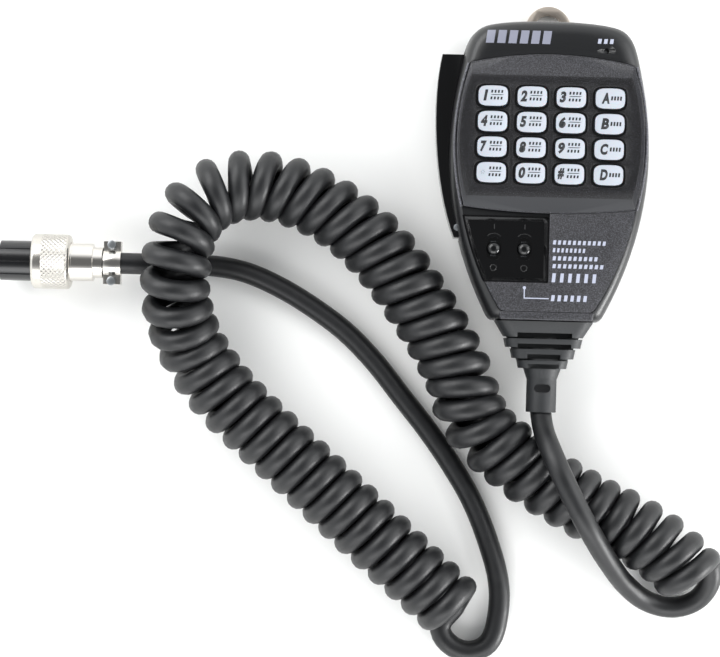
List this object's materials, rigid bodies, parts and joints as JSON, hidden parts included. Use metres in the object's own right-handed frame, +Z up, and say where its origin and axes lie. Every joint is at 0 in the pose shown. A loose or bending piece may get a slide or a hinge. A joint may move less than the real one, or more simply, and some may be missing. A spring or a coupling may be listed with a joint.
{
  "type": "hand microphone",
  "caption": "Hand microphone with a tone keypad, a push-to-talk side bar, two slide switches and a hanging eye, on a curly cord ending in a screw-ring contact plug.",
  "frame": {"origin": "middle of the box that holds the case, talk bar, hanger and cord boot, on the surface that the case lies on", "axes": "+Z up out of the keypad, +Y towards the hanging eye, +X to the right as the keypad is read; the talk bar is on the -X side"},
  "size_m": [0.2481, 0.2257, 0.0335],
  "materials": {
    "case_plastic": "fine satin moulded ABS",
    "textured_plastic": "spark-eroded moulded texture",
    "gloss_black": "polished moulding",
    "key_silicone": "translucent white key cap with dark print",
    "mat_rubber": "translucent silicone",
    "board": "glass epoxy with solder mask",
    "component_black": "moulded epoxy",
    "zinc_steel": "zinc plated",
    "knob_plastic": "semi-gloss moulding",
    "aluminium_can": "drawn can",
    "boot_rubber": "matte moulded PVC",
    "cord_rubber": "satin polyurethane jacket",
    "nickel_plate": "nickel plated brass",
    "chrome_plate": "bright plated",
    "insert_plastic": "phenolic moulding",
    "gold_contact": "gold flash"
  },
  "bodies": {
    "case": {"rear_shell": "case_plastic", "front_shell": "case_plastic", "keypad_bezel": "textured_plastic", "lower_plate": "textured_plastic", "switch_panel": "gloss_black", "keypad_mat": "mat_rubber", "main_board": "board", "tone_chip": "component_black", "board_screws": "zinc_steel", "lock_switch": "zinc_steel", "mode_switch": "zinc_steel", "mic_capsule": "aluminium_can", "capsule_boot": "boot_rubber", "bar_pin": "zinc_steel", "talk_switch": "component_black", "hanger": "nickel_plate", "hanger_screws": "zinc_steel", "case_screws": "zinc_steel", "cord_boot": "boot_rubber", "cord_tail": "cord_rubber", "cord_clip": "zinc_steel", "clip_screws": "zinc_steel", "cord_mic_lead": "cord_rubber", "cord_coil": "cord_rubber", "cord_plug_lead": "cord_rubber", "plug_insert": "insert_plastic", "plug_contacts": "gold_contact", "plug_body": "chrome_plate", "plug_strap": "chrome_plate", "strap_screws": "zinc_steel"},
    "key_1": {"key_1": "key_silicone"},
    "key_2": {"key_2": "key_silicone"},
    "key_3": {"key_3": "key_silicone"},
    "key_a": {"key_a": "key_silicone"},
    "key_4": {"key_4": "key_silicone"},
    "key_5": {"key_5": "key_silicone"},
    "key_6": {"key_6": "key_silicone"},
    "key_b": {"key_b": "key_silicone"},
    "key_7": {"key_7": "key_silicone"},
    "key_8": {"key_8": "key_silicone"},
    "key_9": {"key_9": "key_silicone"},
    "key_c": {"key_c": "key_silicone"},
    "key_star": {"key_star": "key_silicone"},
    "key_0": {"key_0": "key_silicone"},
    "key_hash": {"key_hash": "key_silicone"},
    "key_d": {"key_d": "key_silicone"},
    "talk_bar": {"talk_bar": "gloss_black"},
    "lock_knob": {"lock_knob": "knob_plastic"},
    "mode_knob": {"mode_knob": "knob_plastic"},
    "coupling_ring": {"coupling_ring": "nickel_plate"}
  },
  "joints": [
    {"name": "key_1_press", "type": "slide", "parent": "case", "child": "key_1", "axis": [0, 0, -1], "range_m": [0, 0.0007], "stiffness_N_per_m": 400, "springref_m": -0.0005},
    {"name": "key_2_press", "type": "slide", "parent": "case", "child": "key_2", "axis": [0, 0, -1], "range_m": [0, 0.0007], "stiffness_N_per_m": 400, "springref_m": -0.0005},
    {"name": "key_3_press", "type": "slide", "parent": "case", "child": "key_3", "axis": [0, 0, -1], "range_m": [0, 0.0007], "stiffness_N_per_m": 400, "springref_m": -0.0005},
    {"name": "key_a_press", "type": "slide", "parent": "case", "child": "key_a", "axis": [0, 0, -1], "range_m": [0, 0.0007], "stiffness_N_per_m": 400, "springref_m": -0.0005},
    {"name": "key_4_press", "type": "slide", "parent": "case", "child": "key_4", "axis": [0, 0, -1], "range_m": [0, 0.0007], "stiffness_N_per_m": 400, "springref_m": -0.0005},
    {"name": "key_5_press", "type": "slide", "parent": "case", "child": "key_5", "axis": [0, 0, -1], "range_m": [0, 0.0007], "stiffness_N_per_m": 400, "springref_m": -0.0005},
    {"name": "key_6_press", "type": "slide", "parent": "case", "child": "key_6", "axis": [0, 0, -1], "range_m": [0, 0.0007], "stiffness_N_per_m": 400, "springref_m": -0.0005},
    {"name": "key_b_press", "type": "slide", "parent": "case", "child": "key_b", "axis": [0, 0, -1], "range_m": [0, 0.0007], "stiffness_N_per_m": 400, "springref_m": -0.0005},
    {"name": "key_7_press", "type": "slide", "parent": "case", "child": "key_7", "axis": [0, 0, -1], "range_m": [0, 0.0007], "stiffness_N_per_m": 400, "springref_m": -0.0005},
    {"name": "key_8_press", "type": "slide", "parent": "case", "child": "key_8", "axis": [0, 0, -1], "range_m": [0, 0.0007], "stiffness_N_per_m": 400, "springref_m": -0.0005},
    {"name": "key_9_press", "type": "slide", "parent": "case", "child": "key_9", "axis": [0, 0, -1], "range_m": [0, 0.0007], "stiffness_N_per_m": 400, "springref_m": -0.0005},
    {"name": "key_c_press", "type": "slide", "parent": "case", "child": "key_c", "axis": [0, 0, -1], "range_m": [0, 0.0007], "stiffness_N_per_m": 400, "springref_m": -0.0005},
    {"name": "key_star_press", "type": "slide", "parent": "case", "child": "key_star", "axis": [0, 0, -1], "range_m": [0, 0.0007], "stiffness_N_per_m": 400, "springref_m": -0.0005},
    {"name": "key_0_press", "type": "slide", "parent": "case", "child": "key_0", "axis": [0, 0, -1], "range_m": [0, 0.0007], "stiffness_N_per_m": 400, "springref_m": -0.0005},
    {"name": "key_hash_press", "type": "slide", "parent": "case", "child": "key_hash", "axis": [0, 0, -1], "range_m": [0, 0.0007], "stiffness_N_per_m": 400, "springref_m": -0.0005},
    {"name": "key_d_press", "type": "slide", "parent": "case", "child": "key_d", "axis": [0, 0, -1], "range_m": [0, 0.0007], "stiffness_N_per_m": 400, "springref_m": -0.0005},
    {"name": "talk_press", "type": "hinge", "parent": "case", "child": "talk_bar", "pos_m": [-0.02807, -0.0072, 0.0125], "axis": [0, 0, -1], "range_deg": [0, 3], "stiffness_Nm_per_rad": 0.8, "springref_deg": -3.44},
    {"name": "lock_slide", "type": "slide", "parent": "case", "child": "lock_knob", "axis": [0, 1, 0], "range_m": [-0.0016, 0.0016]},
    {"name": "mode_slide", "type": "slide", "parent": "case", "child": "mode_knob", "axis": [0, 1, 0], "range_m": [-0.0016, 0.0016]},
    {"name": "ring_turn", "type": "hinge", "parent": "case", "child": "coupling_ring", "pos_m": [-0.1652, -0.022, 0.0093], "axis": [1, 0, 0], "continuous": true}
  ]
}
